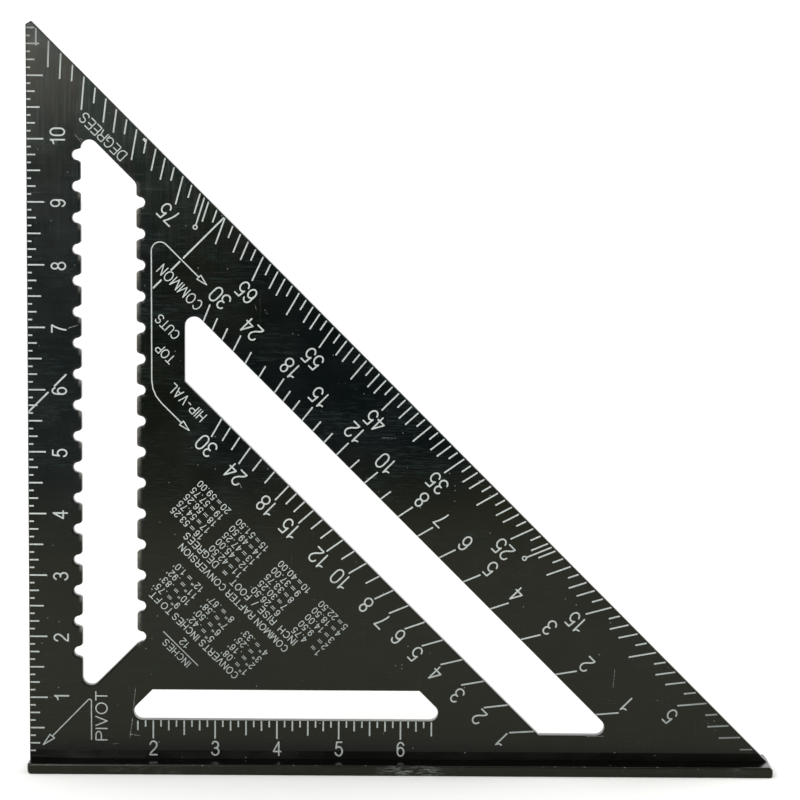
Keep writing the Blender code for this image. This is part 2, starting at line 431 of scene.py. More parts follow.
def rafter_ticks(bm, run, slot, long_end, short_end, edge):
    toward = 1.0 if long_end > slot else -1.0
    start = slot + toward * EDGE_START
    ends = [(n, long_end) for n, _ in COMMON_LABELS] + [(n, short_end) for n in RAFTER_PLAIN]
    for n, end in ends:
        a = math.atan2(n, run)
        tick(bm, ray(a, start), ray(a, end - MARK_LEAN * along(a, end)), edge=edge)


def rafter_numerals(bm, labels, base):
    for n, centre in labels:
        write(bm, str(n), centre, base, SCALE_NUMERAL_HEIGHT, NUMERAL_WIDTH, ALONG_LONG)


def common_ticks(bm):
    rafter_ticks(bm, COMMON_RUN, SLANT_UPPER, COMMON_LONG, COMMON_SHORT, COMMON_EDGE)


def common_numerals(bm):
    rafter_numerals(bm, COMMON_LABELS, COMMON_BASE)


def hip_ticks(bm):
    rafter_ticks(bm, HIP_RUN, SLANT_LOWER, HIP_LONG, HIP_SHORT, HIP_EDGE)


def hip_numerals(bm):
    rafter_numerals(bm, HIP_LABELS, HIP_BASE)


# ------------------------------------------------- lines, arrows and words

def slanted(points):
    """Blade points from text points along the long edge."""
    return [turned(u, v, ALONG_LONG) for u, v in points]


# the 45 degree line, and where each of its stretches starts and ends
MITRE_U = 101.1
MITRE_STRETCHES = (-213.9, -191.0, -188.8, -184.0, -178.1, -173.7, -123.4, -116.9, -113.1, -102.1)
MITRE_WIDTH = 0.7
MITRE_DRAPE = 0.45


def mitre_line(bm):
    """The line square to the long edge, broken where it meets other marks."""
    for start, end in zip(MITRE_STRETCHES[::2], MITRE_STRETCHES[1::2]):
        path = [(MITRE_U, v) for v in (start, end - MITRE_DRAPE, end)]
        stroke(bm, slanted(path), MITRE_WIDTH, LEFT_EDGE)


BRACKET_SUM = -71.54
BRACKET_WIDTH = 0.48
COMMON_ARROW_U, COMMON_ARROW_V = 86.8, -189.86
HIP_ARROW_U, HIP_ARROW_V = 49.8, -142.77
ARROW_LENGTH = 4.4
ARROW_HALF = 1.1
COMMON_BEND = 3.5
HIP_BEND = 13.0


def arrowhead(bm, tip):
    u, v = tip
    base = u + ARROW_LENGTH
    outline = [tip, (base, v + ARROW_HALF), (base, v - ARROW_HALF), tip]
    stroke(bm, slanted(outline), LINE_WIDTH)


def top_cut_bracket(bm):
    """One line from the common arrow round to the hip and valley arrow."""
    common_tip, hip_tip = (COMMON_ARROW_U, COMMON_ARROW_V), (HIP_ARROW_U, HIP_ARROW_V)
    v = COMMON_ARROW_V + COMMON_BEND
    u = BRACKET_SUM - v - COMMON_BEND * ROOT2
    path = [(common_tip[0] + ARROW_LENGTH, COMMON_ARROW_V)]
    path += arc(u, v, COMMON_BEND, COMMON_BEND, -90, 45)
    v = HIP_ARROW_V - HIP_BEND
    u = BRACKET_SUM - v - HIP_BEND * ROOT2
    path += arc(u, v, HIP_BEND, HIP_BEND, 45, 90)
    path.append((hip_tip[0] + ARROW_LENGTH, HIP_ARROW_V))
    stroke(bm, slanted(path), BRACKET_WIDTH)
    arrowhead(bm, common_tip)
    arrowhead(bm, hip_tip)


# each word: start, end, base, height and letter gap
RAFTER_WORDS = {
    "COMMON": (82.2, 105.1, -183.84, 4.65, WIDE_GAP),
    "HIP-VAL": (49.1, 68.0, -152.54, 4.35, WIDE_GAP),
    "TOP": (74.5, 83.2, -160.1, 4.05, LETTER_GAP),
    "CUTS": (80.1, 91.7, -168.57, 4.1, LETTER_GAP),
}
RAFTER_WORD_WIDTH = 0.43


def rafter_words(bm):
    for word, (start, end, base, tall, gap) in RAFTER_WORDS.items():
        fit(bm, word, start, end, base, tall, RAFTER_WORD_WIDTH, gap=gap)


PIVOT_WORD = (7.5, 28.1, -32.08, 5.1, 0.48)
PIVOT_LEG_FOOT = (25.4, 7.9)
PIVOT_BEND = (24.65, 23.95)
PIVOT_BEND_RADIUS = 0.75
PIVOT_TIP = (5.5, 5.6)
PIVOT_BARBS = ((8.3, 9.9), (10.2, 8.4))
PIVOT_NECK = (9.3, 9.2)


def pivot_mark(bm):
    """The word, a line from below it round to the arrow, and the arrow's head."""
    fit(bm, "PIVOT", *PIVOT_WORD, ALONG_TALL)
    bend = arc(*PIVOT_BEND, PIVOT_BEND_RADIUS, PIVOT_BEND_RADIUS, 0, 135)
    stroke(bm, [PIVOT_LEG_FOOT] + bend + [PIVOT_NECK], LINE_WIDTH)
    stroke(bm, [PIVOT_TIP, *PIVOT_BARBS, PIVOT_TIP], LINE_WIDTH)


# ------------------------------------------------------------------ tables

TABLE_WIDTH = 0.31
TABLE_HEIGHT = 2.9
TABLE_PITCH = 3.87
HEADING_WIDTH = 0.34
HEADING_HEIGHT = 3.1
TABLE_STRETCH = 1.09

FRACTION_TOP = (-18.6, -4.3, -75.4, 3.0)
FRACTION_FOOT = (-12.9, -8.9, -80.65, 3.1)
FRACTION_BAR = ((-21.3, -76.45), (-1.4, -76.45))
FRACTION_BAR_WIDTH = 0.32


def inch_fraction(bm):
    fit(bm, "INCHES", *FRACTION_TOP, TABLE_WIDTH, gap=WIDE_GAP)
    stroke(bm, slanted(FRACTION_BAR), FRACTION_BAR_WIDTH)
    fit(bm, "12", *FRACTION_FOOT, TABLE_WIDTH)


EQUALS_START, EQUALS_END = 0.95, 3.0
EQUALS_WIDTH = 0.26


def table_cell(bm, left_text, right_text, name_right, value_right, base):
    """NAME = VALUE, with the equals sign close after the name."""
    figures(bm, left_text, name_right, base)
    start, end = name_right + EQUALS_START, name_right + EQUALS_END
    fit(bm, "=", start, end, base, TABLE_HEIGHT, EQUALS_WIDTH)
    figures(bm, right_text, value_right, base)


def heading(bm, words, base):
    """A table heading, word by word, each with its own start and end."""
    for word, left, right in words:
        fit(bm, word, left, right, base, HEADING_HEIGHT, HEADING_WIDTH, gap=WIDE_GAP)


# where each column's names end, how far past that its values end, and the top row
INCH_TABLE_COLUMNS = (-34.3, -14.7, 4.9)
INCH_TABLE_VALUE = 10.2
INCH_TABLE_BASE = -89.5
INCH_TABLE_ROWS = 4
INCH_HEADING_BASE = -85.85
ENGRAVED_HUNDREDTHS = {2: 16}
INCH_TABLE_HEADING = (
    ("CONVERTS", -35.8, -14.9),
    ("INCHES", -13.4, 0.6),
    ("TO", 1.9, 7.2),
    ("FT.", 8.5, 14.6),
)


def inch_table(bm):
    """Inches to decimal feet, one to twelve inches, with the values as engraved."""
    heading(bm, INCH_TABLE_HEADING, INCH_HEADING_BASE)
    for n in range(1, 13):
        column, row = divmod(n - 1, INCH_TABLE_ROWS)
        hundredths = ENGRAVED_HUNDREDTHS.get(n, round(n / 12.0 * 100.0))
        value = "1.0'" if n == 12 else ".%02d'" % hundredths
        right = INCH_TABLE_COLUMNS[column]
        base = INCH_TABLE_BASE - row * TABLE_PITCH
        table_cell(bm, '%d"' % n, value, right, right + INCH_TABLE_VALUE, base)


# laid out as the table above
RAFTER_TABLE_COLUMNS = (-51.3, -27.9, -3.6, 18.6)
RAFTER_TABLE_VALUE = 13.4
RAFTER_TABLE_BASE = -116.4
RAFTER_TABLE_ROWS = 5
RAFTER_HEADING_BASE = -108.22
RAFTER_RULE_BASE = -112.85
ENGRAVED_DEGREES = {9: 37.0, 10: 40.0, 15: 51.5}
RAFTER_TABLE_HEADING = (
    ("COMMON", -42.3, -24.7),
    ("RAFTER", -23.1, -8.0),
    ("CONVERSION", -6.5, 18.9),
)
RAFTER_TABLE_RULE = (
    ("INCH", -42.8, -33.7),
    ("RISE", -30.9, -22.2),
    ("/", -20.2, -18.7),
    ("FOOT", -16.3, -6.1),
    ("=", -2.9, -0.8),
    ("DEGREES", 2.4, 20.8),
)


def rafter_table(bm):
    """Rise in inches per foot to degrees, in quarters of a degree as engraved."""
    heading(bm, RAFTER_TABLE_HEADING, RAFTER_HEADING_BASE)
    heading(bm, RAFTER_TABLE_RULE, RAFTER_RULE_BASE)
    for n in range(1, 21):
        column, row = divmod(n - 1, RAFTER_TABLE_ROWS)
        degrees = math.degrees(math.atan2(n, COMMON_RUN))
        value = "%.2f" % ENGRAVED_DEGREES.get(n, round(degrees * 4.0) / 4.0)
        right = RAFTER_TABLE_COLUMNS[column]
        base = RAFTER_TABLE_BASE - row * TABLE_PITCH
        table_cell(bm, str(n), value, right, right + RAFTER_TABLE_VALUE, base)


# --------------------------------------------------------------- materials

SCRATCH_WANDER = 0.4 * MM
SCRATCH_END = 0.3 * MM
MARKED_FACE = (-0.8, -0.95)


class Paint:
    """One procedural material, with short calls for the nodes it is made of."""

    def __init__(self, name):
        self.material = bpy.data.materials.new(name)
        self.material.use_nodes = True
        self.tree = self.material.node_tree
        self.tree.nodes.clear()
        self.shader = self.add("ShaderNodeBsdfPrincipled")
        end = self.add("ShaderNodeOutputMaterial")
        self.link(self.shader.outputs["BSDF"], end.inputs["Surface"])
        coordinates = self.add("ShaderNodeTexCoord")
        self.place = coordinates.outputs["Object"]
        self.facing = self.axis(coordinates.outputs["Normal"], "Y")
        self.upward = self.axis(coordinates.outputs["Normal"], "Z")
        self.side = self.axis(self.place, "X")
        self.height = self.axis(self.place, "Z")

    def add(self, kind):
        return self.tree.nodes.new(kind)

    def link(self, value, socket):
        if isinstance(value, bpy.types.NodeSocket):
            self.tree.links.new(value, socket)
        else:
            socket.default_value = value

    def axis(self, vector, name):
        node = self.add("ShaderNodeSeparateXYZ")
        self.link(vector, node.inputs[0])
        return node.outputs[name]

    def math(self, operation, a, b=0.0):
        node = self.add("ShaderNodeMath")
        node.operation = operation
        self.link(a, node.inputs[0])
        self.link(b, node.inputs[1])
        return node.outputs[0]

    def times(self, first, *rest):
        for value in rest:
            first = self.math("MULTIPLY", first, value)
        return first

    def ramp(self, value, start, end, low=0.0, high=1.0, shape="SMOOTHSTEP"):
        node = self.add("ShaderNodeMapRange")
        node.interpolation_type = shape
        for socket, number in zip(node.inputs, (value, start, end, low, high)):
            self.link(number, socket)
        return node.outputs[0]

    def between(self, value, start, end, soft):
        """1 from start to end of a length, fading over soft, all in metres."""
        begun = self.ramp(value, start - soft, start + soft)
        return self.times(begun, self.ramp(value, end + soft, end - soft))

    def moved(self, offset=(0, 0, 0), turn=0.0, scale=(1, 1, 1)):
        """Object coordinates, moved, then turned about Y, then scaled."""
        node = self.add("ShaderNodeVectorMath")
        node.operation = "SUBTRACT"
        self.link(self.place, node.inputs[0])
        node.inputs[1].default_value = offset
        mapping = self.add("ShaderNodeMapping")
        self.link(node.outputs[0], mapping.inputs["Vector"])
        mapping.inputs["Rotation"].default_value = (0.0, turn, 0.0)
        stretch = self.add("ShaderNodeVectorMath")
        stretch.operation = "MULTIPLY"
        self.link(mapping.outputs[0], stretch.inputs[0])
        stretch.inputs[1].default_value = scale
        return stretch.outputs[0]

    def noise(self, vector, scale=1.0, detail=2.0, roughness=0.5):
        node = self.add("ShaderNodeTexNoise")
        self.link(vector, node.inputs["Vector"])
        node.inputs["Scale"].default_value = scale
        node.inputs["Detail"].default_value = detail
        node.inputs["Roughness"].default_value = roughness
        return node.outputs["Fac"]

    def patches(self, scale, detail=2.0, roughness=0.5, offset=(0.0, 0.0, 0.0)):
        """Noise over the object; scale is one number, or one for each axis."""
        if not isinstance(scale, tuple):
            scale = (scale, scale, scale)
        return self.noise(self.moved(offset, scale=scale), 1.0, detail, roughness)

    def specks(self, vector, scale, radius, share):
        """Small dots: one in each Voronoi cell, kept in only some cells."""
        node = self.add("ShaderNodeTexVoronoi")
        self.link(vector, node.inputs["Vector"])
        node.inputs["Scale"].default_value = scale
        dot = self.ramp(node.outputs["Distance"], radius, 0.4 * radius)
        chosen = self.ramp(self.axis(node.outputs["Color"], "X"), share, 0.98 * share)
        strength = self.ramp(self.axis(node.outputs["Color"], "Y"), 0.0, 1.0, 0.15, 1.0)
        return self.times(dot, chosen, strength)

    def blend(self, factor, a, b):
        node = self.add("ShaderNodeMix")
        node.data_type = "RGBA"
        self.link(factor, node.inputs["Factor"])
        self.link(a, node.inputs["A"])
        self.link(b, node.inputs["B"])
        return node.outputs["Result"]

    def scratch(self, start, end, width):
        """A thin straight scratch on the marked face, from start to end, in mm."""
        rise, run = end[1] - start[1], end[0] - start[0]
        length = math.hypot(rise, run) * MM
        vector = self.moved(world(*start), math.atan2(rise, run))
        wander = self.math("SUBTRACT", self.noise(vector, 160.0), 0.5)
        across = self.math("ADD", self.axis(vector, "Z"), self.times(wander, SCRATCH_WANDER))
        across = self.math("ABSOLUTE", across)
        inside = self.ramp(across, 0.5 * width * MM, 0.2 * width * MM)
        place = self.axis(vector, "X")
        begun = self.ramp(place, -SCRATCH_END, SCRATCH_END)
        ended = self.ramp(place, length + SCRATCH_END, length - SCRATCH_END)
        broken = self.ramp(self.noise(vector, 1300.0), 0.4, 0.56)
        return self.times(inside, begun, ended, broken, self.ramp(self.facing, *MARKED_FACE))

    def dot(self, place, radius):
        """A small round chip on the marked face, in mm."""
        node = self.add("ShaderNodeVectorMath")
        node.operation = "LENGTH"
        self.link(self.moved(world(*place)), node.inputs[0])
        inside = self.ramp(node.outputs["Value"], radius * MM, 0.5 * radius * MM)
        return self.times(inside, self.ramp(self.facing, *MARKED_FACE))

    def phase(self, lowest):
        """0 to 1 up the blade from one notch of the rack to the next."""
        rise = self.math("SUBTRACT", self.height, CORNER_Z + lowest * MM)
        return self.math("FRACT", self.times(rise, 1.0 / (NOTCH_PITCH * MM)))

    def total(self, values):
        result = values[0]
        for value in values[1:]:
            result = self.math("MAXIMUM", result, value)
        return result

    def bump(self, height, distance, below=None):
        node = self.add("ShaderNodeBump")
        node.inputs["Strength"].default_value = 1.0
        node.inputs["Distance"].default_value = distance
        self.link(height, node.inputs["Height"])
        if below is not None:
            self.link(below, node.inputs["Normal"])
        self.link(node.outputs["Normal"], self.shader.inputs["Normal"])
        return node.outputs["Normal"]

    def finish(self, colour, roughness, metallic, specular):
        self.link(colour, self.shader.inputs["Base Color"])
        self.link(roughness, self.shader.inputs["Roughness"])
        self.link(metallic, self.shader.inputs["Metallic"])
        self.shader.inputs["Specular IOR Level"].default_value = specular
        return self.material


DYE_COOL = (0.0016, 0.0034, 0.0037, 1.0)
DYE_WARM = (0.0075, 0.0082, 0.0024, 1.0)
TIP_GREEN = (0.0100, 0.0190, 0.0140, 1.0)
TIP_BROWN = (0.0260, 0.0225, 0.0160, 1.0)
HAZE = (0.0085, 0.0115, 0.0110, 1.0)
BRUSH_TEAL = (0.0140, 0.0270, 0.0250, 1.0)
BRUSH_PALE = (0.0520, 0.0600, 0.0540, 1.0)
BARE_METAL = (0.42, 0.43, 0.42, 1.0)
# painted reflection: the lighter colour laid on the rolled edges of the rack teeth
PAINTED_TOOTH_SHEEN = (0.200, 0.190, 0.168, 1.0)
DUST = (0.30, 0.32, 0.31, 1.0)
CHIP = (0.62, 0.62, 0.58, 1.0)
SHADE = (0.0006, 0.0006, 0.0006, 1.0)
# how rough the finish is, and how much each kind of detail shows in it
GLOSS = 0.10
GRAIN_ROUGHNESS = 0.14
MARKED_ROUGHNESS = 0.16
BRUSHED_ROUGHNESS = 0.4
MOTTLE = (-0.03, 0.05)
RELIEF = 0.014 * MM
LINE_DEPTH = 0.4
SPECULAR = 0.2

# parts of the blade with a tone or finish of their own, from and to, metres above the floor
WARM_ZONE = (0.15, 0.07)
TIP_ZONE = (0.20, 0.30)
UPRIGHT_BRUSHED = (0.19, 0.29)
TEAL_BEGINS = (0.07, 0.13)
TEAL_ENDS = (0.26, 0.20)

# two strips by the 90 degree edge: sides in mm and heights in metres, each with its softness
HAZE_STRIP = ((-9.0, 24.0, 6.0), (0.11, 0.25, 0.03))
DUST_STRIP = ((5.0, 23.0, 5.0), (0.10, 0.22, 0.03))

# mm above the fence
DUSTY_FOOT = (12.0, 5.0)
SHADED_FOOT = (10.0, 1.0)
FOOT_TILT = 0.012
FLARE_TOP = 3.6
FOOT_FLARE = 0.5 * MM

# the fence's heavy scuff, mm from the pivot corner
HEAVY_SCUFF = (146.0, 169.0)
SCUFF_SOFT = 5.0

# each scratch: its start, its end and its width, in mm
BLADE_SCRATCHES = (
    ((43.5, 29.5), (42.6, 20.0), 0.34),
    ((42.3, 17.0), (41.2, 8.6), 0.4),
    ((40.8, 10.2), (45.2, 9.6), 0.36),
    ((19.6, 256.0), (22.4, 252.6), 0.34),
    ((21.6, 254.6), (23.6, 252.8), 0.3),
    ((16.5, 177.5), (20.5, 178.8), 0.5),
    ((52.4, 6.6), (53.4, 7.1), 0.35),
    ((143.8, 133.6), (149.7, 133.5), 0.24),
    ((137.5, 116.9), (141.9, 117.2), 0.16),
    ((85.4, 115.1), (86.5, 113.9), 0.4),
    ((86.4, 114.1), (86.9, 112.6), 0.35),
    ((257.8, 25.8), (258.2, 25.5), 0.5),
    ((240.2, 38.6), (239.6, 30.8), 0.26),
    ((34.0, 6.0), (36.5, 6.3), 0.2),
    ((228.5, 10.3), (236.0, 10.5), 0.3),
    ((96.3, 185.6), (96.6, 185.1), 0.5),
    ((96.7, 184.4), (97.4, 183.9), 0.3),
    ((92.3, 187.4), (92.9, 185.4), 0.24),
)
# each chip: its place and its radius, in mm
BLADE_CHIPS = (((47.6, 254.0), 0.7), ((48.0, 253.3), 0.5))

# each streak set: turn in degrees, fineness across, fineness along, hairline limit
BLADE_STREAKS = ((0.0, 3800.0, 45.0, 0.67), (90.0, 3000.0, 40.0, 0.69), (37.0, 2600.0, 60.0, 0.71))
FENCE_STREAKS = ((0.0, 4200.0, 20.0, 0.66), (8.0, 2400.0, 80.0, 0.68))
STREAK_DEPTH = 260.0
HAIRLINE_SOFT = 0.05

# how far the edges have chipped: noise below the first number is whole, above the second bare
BLADE_WEAR = (0.66, 0.74)
FENCE_WEAR = (0.62, 0.72)


def side_at(x):
    """Metres, from mm past the pivot corner."""
    return CORNER_X + x * MM


def height_at(z):
    """Metres above the floor, from mm above the fence."""
    return CORNER_Z + z * MM


def zone(paint, sides, heights):
    """1 inside one soft-edged upright strip of the blade."""
    left, right, soft = sides
    across = paint.between(paint.side, side_at(left), side_at(right), soft * MM)
    return paint.times(across, paint.between(paint.height, *heights))


def dye(paint):
    """Cool to warm black, warmer towards the bottom, turning greenish brown towards the top tip."""
    low = paint.times(paint.ramp(paint.height, *WARM_ZONE), 0.35)
    warmth = paint.ramp(paint.math("ADD", paint.patches(9.0, 3.0), low), 0.45, 0.8)
    colour = paint.blend(warmth, DYE_COOL, DYE_WARM)
    stain = paint.patches((70.0, 70.0, 18.0), 5.0, 0.65, offset=(0.5, 0.0, 0.0))
    tinge = paint.blend(paint.ramp(stain, 0.42, 0.62), TIP_GREEN, TIP_BROWN)
    return paint.blend(paint.ramp(paint.height, *TIP_ZONE), colour, tinge)


def hairlines(paint, streaks):
    """The grain of each streak set, and the long hairlines that stand out of it."""
    grain, lines = [], []
    for turn, fine, long, limit in streaks:
        vector = paint.moved(turn=math.radians(turn), scale=(long, STREAK_DEPTH, fine))
        value = paint.noise(vector, 1.0, 3.0, 0.6)
        grain.append(value)
        lines.append(paint.ramp(value, limit, limit + HAIRLINE_SOFT))
    areas = paint.ramp(paint.patches(16.0), 0.42, 0.66)
    return grain, paint.times(paint.total(lines), areas)


def brushing(paint):
    """Fine brushing that shows in areas: teal across the middle and pale up the tip."""
    areas = paint.patches((34.0, 34.0, 60.0), 3.0, 0.6, offset=(0.1, 0.0, 0.4))
    teal = paint.ramp(paint.patches((170.0, 170.0, 2300.0), 3.0, 0.62), 0.46, 0.72)
    teal = paint.times(teal, paint.ramp(areas, 0.4, 0.64))
    for ends in (TEAL_BEGINS, TEAL_ENDS):
        teal = paint.times(teal, paint.ramp(paint.height, *ends, 0.3, 1.0))
    pale = paint.ramp(paint.patches((1000.0, 1000.0, 55.0), 4.0, 0.7), 0.44, 0.7)
    pale = paint.times(pale, paint.ramp(paint.height, *UPRIGHT_BRUSHED))
    return teal, paint.times(pale, paint.ramp(areas, 0.34, 0.6, 0.25, 1.0))


def dust(paint):
    """A sparse scatter everywhere, thicker down the left strip and along the foot."""
    small = paint.specks(paint.moved(), 420.0, 0.12, 0.2)
    large = paint.specks(paint.moved(offset=(0.3, 0.1, 0.2)), 110.0, 0.035, 0.3)
    fine = paint.specks(paint.moved(offset=(0.7, 0.0, 0.1)), 1150.0, 0.22, 0.5)
    foot = paint.ramp(paint.height, *(height_at(z) for z in DUSTY_FOOT))
    where = paint.math("MAXIMUM", zone(paint, *DUST_STRIP), paint.times(foot, 0.35))
    thick = paint.ramp(paint.patches(75.0, 3.0, 0.6), 0.42, 0.62)
    return [small, paint.times(large, 0.9), paint.times(fine, thick, where, 0.8)]


def worn_edges(paint, wear):
    """Bare metal where the rounded edges have chipped."""
    tilt = paint.math("ABSOLUTE", paint.facing)
    rim = paint.times(paint.ramp(tilt, 0.12, 0.45), paint.ramp(tilt, 0.97, 0.8))
    return paint.times(rim, paint.ramp(paint.patches(330.0, 4.0, 0.7), *wear))


def tooth_polish(paint):
    """Painted reflection on the teeth's rolled edges: a soft slope on the right row, top corners on
    the left.
    """
    front = paint.ramp(paint.facing, -0.15, -0.5)
    rows = paint.between(paint.height, height_at(RACK_LOW), height_at(RACK_HIGH), 2.0 * MM)
    slope = paint.ramp(paint.side, side_at(RACK_RIGHT + 2.4), side_at(RACK_RIGHT + 0.1))
    begun = paint.ramp(paint.side, side_at(RACK_RIGHT - 0.4), side_at(RACK_RIGHT - 0.1))
    fade = paint.ramp(paint.phase(RIGHT_NOTCH), 0.1, 0.82, 0.25, 0.9)
    corner = paint.ramp(paint.side, side_at(RACK_LEFT - 1.7), side_at(RACK_LEFT - 0.2))
    ended = paint.ramp(paint.side, side_at(RACK_LEFT + 0.4), side_at(RACK_LEFT + 0.1))
    crest = paint.ramp(paint.phase(LEFT_NOTCH), 0.55, 0.78)
    uneven = paint.ramp(paint.patches(420.0, 3.0), 0.3, 0.65, 0.45, 1.0)
    both = paint.math("ADD", paint.times(slope, begun, fade), paint.times(corner, ended, crest))
    return paint.times(both, uneven, rows, front)


def rim_scuffs(paint):
    """Rubbed patches along the fence's front rim, one of them heavy."""
    rub = paint.ramp(paint.patches((260.0, 260.0, 1500.0), 4.0, 0.7), 0.44, 0.74)
    start, end = HEAVY_SCUFF
    heavy = paint.between(paint.side, side_at(start), side_at(end), SCUFF_SOFT * MM)
    light = paint.patches(38.0, 2.0, offset=(0.2, 0.0, 0.0))
    amount = paint.math("MAXIMUM", heavy, paint.ramp(light, 0.52, 0.74, 0.0, 0.25))
    return paint.times(rub, amount, paint.ramp(paint.facing, -0.5, -0.9))


def blade_layers(paint):
    """What only the blade has: painted shade on its foot and a painted reflection on its teeth."""
    slanting = paint.math("ADD", paint.height, paint.times(paint.side, FOOT_TILT))
    foot = paint.ramp(slanting, *(height_at(z) for z in SHADED_FOOT))
    return [(paint.times(foot, 0.95), SHADE), (tooth_polish(paint), PAINTED_TOOTH_SHEEN)]


def fence_layers(paint):
    """What only the fence has: painted shade on the top of its lips and a scuffed rim."""
    # painted shade: the faces of the lips that look up are darkened
    top = paint.ramp(paint.upward, 0.4, 0.8)
    return [(paint.times(top, 0.9), SHADE), (paint.times(rim_scuffs(paint), 0.6), DUST)]


def anodised(name, streaks, wear, own_layers, scratches=(), chips=(), flare=0.0):
    """Dyed black anodised aluminium: fine grain, hairlines, dust and worn edges.

    own_layers gives the layers that only this piece has, and flare is the depth of a
    bump that tilts the shading at the foot of the blade as if it bent out to meet the fence.
    """
    paint = Paint(name)
    grain, lines = hairlines(paint, streaks)
    teal, pale = brushing(paint)
    marked = paint.total(dust(paint) + [paint.scratch(*scratch) for scratch in scratches])
    worn = worn_edges(paint, wear)

    layers = [
        (paint.times(zone(paint, *HAZE_STRIP), 0.8), HAZE),
        (paint.times(teal, 0.75), BRUSH_TEAL),
        (paint.times(pale, 0.6), BRUSH_PALE),
        (paint.times(lines, 0.10), DUST),
    ]
    layers += own_layers(paint)
    layers += [(paint.times(marked, 0.75), DUST), (worn, BARE_METAL)]
    layers += [(paint.dot(place, radius), CHIP) for place, radius in chips]
    colour = dye(paint)
    for amount, tint in layers:
        colour = paint.blend(amount, colour, tint)

    roughness = paint.math("ADD", paint.times(grain[0], GRAIN_ROUGHNESS), GLOSS)
    mottle = paint.ramp(paint.patches(55.0, 4.0), 0.3, 0.7, *MOTTLE)
    roughness = paint.math("ADD", roughness, mottle)
    dull = paint.total([marked, lines, paint.times(teal, BRUSHED_ROUGHNESS)])
    roughness = paint.math("ADD", roughness, paint.times(dull, MARKED_ROUGHNESS))

    relief = paint.math("ADD", paint.times(grain[0], 0.5), paint.times(grain[-1], 0.5))
    cut = paint.times(paint.total([lines, worn]), LINE_DEPTH)
    fine_relief = paint.bump(paint.math("SUBTRACT", relief, cut), RELIEF)
    if flare:
        rise = paint.ramp(paint.height, height_at(FLARE_TOP), height_at(0.0), shape="LINEAR")
        paint.bump(rise, flare, fine_relief)
    return paint.finish(colour, roughness, paint.times(worn, 0.9), SPECULAR)


MARK_WHITE = (0.57, 0.61, 0.59, 1.0)
MARK_DULL = (0.38, 0.41, 0.40, 1.0)
MARK_DIMMED = (0.09, 0.10, 0.095, 1.0)
MARK_PIT = (0.16, 0.17, 0.165, 1.0)
MARK_RELIEF = 0.02 * MM
MARK_SPECULAR = 0.25

# where the marks are darker, towards the bottom, the right and the top tip: from and to in metres, and
# how far they darken
DIMMER_LOW = (0.11, 0.03, 0.0, 0.3)
DIMMER_TOP = (0.275, 0.302, 0.0, 0.42)
DIMMER_RIGHT = (0.08, 0.15, 0.0, 0.85)


def etched():
    """Off-white engraving: chalky, uneven and a little worn through."""
    paint = Paint("etched_marks")
    fine = paint.patches(900.0, 4.0, 0.65)
    broad = paint.patches(28.0)
    dull = paint.math("ADD", paint.times(fine, 0.6), paint.times(broad, 0.4))
    colour = paint.blend(paint.ramp(dull, 0.38, 0.72), MARK_WHITE, MARK_DULL)
    # the marks darken towards the bottom, the right and the top tip
    dimmed_marks = paint.total([
        paint.ramp(paint.height, *DIMMER_LOW),
        paint.ramp(paint.side, *DIMMER_RIGHT),
        paint.ramp(paint.height, *DIMMER_TOP),
    ])
    colour = paint.blend(dimmed_marks, colour, MARK_DIMMED)
    pits = paint.specks(paint.moved(), 1500.0, 0.25, 0.3)
    colour = paint.blend(paint.times(pits, 0.45), colour, MARK_PIT)
    paint.bump(paint.math("ADD", fine, paint.times(pits, -0.6)), MARK_RELIEF)
    return paint.finish(colour, paint.ramp(fine, 0.3, 0.7, 0.55, 0.8), 0.0, MARK_SPECULAR)


def dress(node, material):
    node.data.materials.clear()
    node.data.materials.append(material)


blade_finish = anodised(
    "anodised_blade", BLADE_STREAKS, BLADE_WEAR, blade_layers, BLADE_SCRATCHES, BLADE_CHIPS, FOOT_FLARE
)
dress(frame["nodes"]["blade"], blade_finish)
dress(frame["nodes"]["fence"], anodised("anodised_fence", FENCE_STREAKS, FENCE_WEAR, fence_layers))
etched_material = etched()


# -------------------------------------------------------------- the marks

MARK_PIECES = (
    ("inch_scale_ticks", tall_ticks),
    ("inch_scale_numerals", tall_numerals),
    ("level_scale_ticks", level_ticks),
    ("level_scale_numerals", level_numerals),
    ("degree_ticks", degree_ticks),
    ("degree_numerals", degree_numerals),
    ("common_rafter_ticks", common_ticks),
    ("common_rafter_numerals", common_numerals),
    ("hip_valley_ticks", hip_ticks),
    ("hip_valley_numerals", hip_numerals),
    ("rafter_scale_words", rafter_words),
    ("top_cut_bracket", top_cut_bracket),
    ("mitre_line", mitre_line),
    ("pivot_arrow", pivot_mark),
    ("inch_fraction", inch_fraction),
    ("inches_to_feet_table", inch_table),
    ("rafter_pitch_table", rafter_table),
)


def make_mark(name, draw):
    bm = bmesh.new()
    draw(bm)
    for face in bm.faces:
        face.normal_update()
        if face.normal.y > 0.0:
            face.normal_flip()
        face.smooth = True
    mesh = bpy.data.meshes.new(name)
    bm.to_mesh(mesh)
    bm.free()
    mesh.materials.append(etched_material)
    mark = bpy.data.objects.new(name, mesh)
    bpy.context.scene.collection.objects.link(mark)
    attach(mark, "root")


for mark_name, draw_mark in MARK_PIECES:
    make_mark(mark_name, draw_mark)


# ------------------------------------------------- floor, light and camera

FLOOR_FRONT = -0.70
FLOOR_BACK = 5.0
FLOOR_SIDE = 3.0
FLOOR_PARTS = 12
FLOOR_SHADES = ((0.90, 0.90, 0.88, 1.0), (0.93, 0.93, 0.91, 1.0))
FLOOR_ROUGHNESS = 0.9


